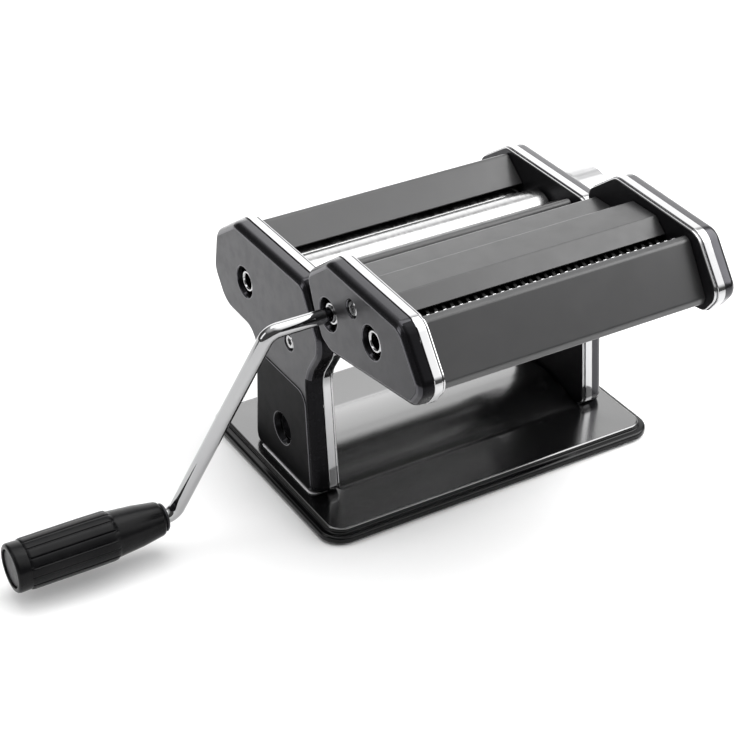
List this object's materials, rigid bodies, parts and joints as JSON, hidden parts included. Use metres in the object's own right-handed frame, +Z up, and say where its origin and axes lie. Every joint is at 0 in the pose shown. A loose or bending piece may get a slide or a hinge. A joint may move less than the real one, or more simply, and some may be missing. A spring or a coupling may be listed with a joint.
{
  "type": "pasta roller machine",
  "caption": "Hand-cranked pasta machine: two-legged body with sheet rollers and thickness knob on a pressed base, lift-off cutter head at the front, bent crank with turning grip.",
  "frame": {"origin": "centre of the base footprint on the table plane, in the middle plane between the side frames", "axes": "+X along the rollers from the crank side to the knob side, -Y to the front where the cutter head hangs, +Z up"},
  "size_m": [0.3631, 0.2064, 0.1537],
  "materials": {
    "base_paint": "gloss black enamel",
    "sheet_paint": "satin dark grey enamel",
    "rubber": "matt",
    "fastener_steel": "plain",
    "chrome": "polished",
    "side_plastic": "satin black",
    "roller_steel": "fine ground",
    "gear_steel": "machined",
    "bush_plastic": "natural",
    "grip_plastic": "gloss black"
  },
  "bodies": {
    "machine_body": {"base_plate": "base_paint", "bottom_plate": "sheet_paint", "foot_1": "rubber", "foot_2": "rubber", "foot_3": "rubber", "foot_4": "rubber", "leg_bolt_1": "fastener_steel", "leg_bolt_2": "fastener_steel", "body_frame_left": "chrome", "body_frame_right": "chrome", "body_cover_left": "side_plastic", "body_cover_right": "side_plastic", "body_screw_left": "chrome", "body_screw_right": "chrome", "body_tie_rod": "roller_steel", "hopper_rear": "sheet_paint", "hopper_front": "sheet_paint", "bush_rear_left": "bush_plastic", "bush_rear_right": "bush_plastic", "scraper_rear": "roller_steel", "scraper_front": "roller_steel"},
    "rear_roller": {"sheet_roller_rear": "roller_steel", "roller_gear_rear": "gear_steel", "socket_sheet_rollers": "chrome"},
    "roller_carrier": {"bush_front_left": "bush_plastic", "bush_front_right": "bush_plastic"},
    "front_roller": {"sheet_roller_front": "roller_steel", "roller_gear_front": "gear_steel"},
    "regulator": {"regulator_shaft": "roller_steel"},
    "knob": {"regulator_knob": "chrome", "knob_cap": "side_plastic"},
    "cutter_attachment": {"cutter_frame_left": "chrome", "cutter_frame_right": "chrome", "cutter_cover_left": "side_plastic", "cutter_cover_right": "side_plastic", "cutter_screw_left": "chrome", "cutter_screw_right": "chrome", "cutter_guide_plate": "sheet_paint", "cutter_centre_bar": "sheet_paint", "cutter_front_cover": "sheet_paint", "comb_wide_drive": "roller_steel", "comb_wide_idle": "roller_steel", "comb_narrow_drive": "roller_steel", "comb_narrow_idle": "roller_steel", "rail_hook_left": "chrome", "rail_hook_right": "chrome"},
    "wide_drive": {"wide_cutter_drive": "roller_steel", "wide_gear_drive": "gear_steel", "socket_wide_cutters": "chrome"},
    "wide_idle": {"wide_cutter_idle": "roller_steel", "wide_gear_idle": "gear_steel"},
    "narrow_drive": {"narrow_cutter_drive": "roller_steel", "narrow_gear_drive": "gear_steel", "socket_narrow_cutters": "chrome"},
    "narrow_idle": {"narrow_cutter_idle": "roller_steel", "narrow_gear_idle": "gear_steel"},
    "crank": {"crank_rod": "chrome", "grip_collar": "side_plastic"},
    "grip": {"crank_grip": "grip_plastic", "grip_cap": "side_plastic"}
  },
  "joints": [
    {"name": "rear_roller_spin", "type": "hinge", "parent": "machine_body", "child": "rear_roller", "pos_m": [0, 0.0374, 0.099], "axis": [1, 0, 0], "continuous": true},
    {"name": "roller_gap", "type": "slide", "parent": "machine_body", "child": "roller_carrier", "axis": [0, -0.9638, 0.2665], "range_m": [0, 0.0022]},
    {"name": "front_roller_spin", "type": "hinge", "parent": "roller_carrier", "child": "front_roller", "pos_m": [0, 0.011, 0.1063], "axis": [1, 0, 0], "continuous": true},
    {"name": "regulator_turn", "type": "hinge", "parent": "machine_body", "child": "regulator", "pos_m": [0.085, 0.011, 0.1063], "axis": [1, 0, 0], "range_deg": [0, 240]},
    {"name": "knob_pull", "type": "slide", "parent": "regulator", "child": "knob", "axis": [1, 0, 0], "range_m": [0, 0.004], "stiffness_N_per_m": 400, "springref_m": -0.005},
    {"name": "cutter_lift", "type": "slide", "parent": "machine_body", "child": "cutter_attachment", "axis": [0, 0.5486, 0.8361], "range_m": [0, 0.06]},
    {"name": "wide_drive_spin", "type": "hinge", "parent": "cutter_attachment", "child": "wide_drive", "pos_m": [0, -0.0495, 0.1244], "axis": [1, 0, 0], "continuous": true},
    {"name": "wide_idle_spin", "type": "hinge", "parent": "cutter_attachment", "child": "wide_idle", "pos_m": [0, -0.0678, 0.127], "axis": [1, 0, 0], "continuous": true},
    {"name": "narrow_drive_spin", "type": "hinge", "parent": "cutter_attachment", "child": "narrow_drive", "pos_m": [0, -0.0894, 0.1301], "axis": [1, 0, 0], "continuous": true},
    {"name": "narrow_idle_spin", "type": "hinge", "parent": "cutter_attachment", "child": "narrow_idle", "pos_m": [0, -0.1073, 0.1255], "axis": [1, 0, 0], "continuous": true},
    {"name": "crank_pull", "type": "slide", "parent": "wide_drive", "child": "crank", "axis": [-1, 0, 0], "range_m": [0, 0.03]},
    {"name": "grip_spin", "type": "hinge", "parent": "crank", "child": "grip", "pos_m": [-0.21, -0.0237, 0.0194], "axis": [1, 0, 0], "continuous": true}
  ],
  "couplings": [
    {"joint": "front_roller_spin", "follows": "rear_roller_spin", "ratio": -1},
    {"joint": "regulator_turn", "follows": "roller_gap", "rad_per_m": 1900},
    {"joint": "wide_idle_spin", "follows": "wide_drive_spin", "ratio": -1},
    {"joint": "narrow_idle_spin", "follows": "narrow_drive_spin", "ratio": -1}
  ]
}
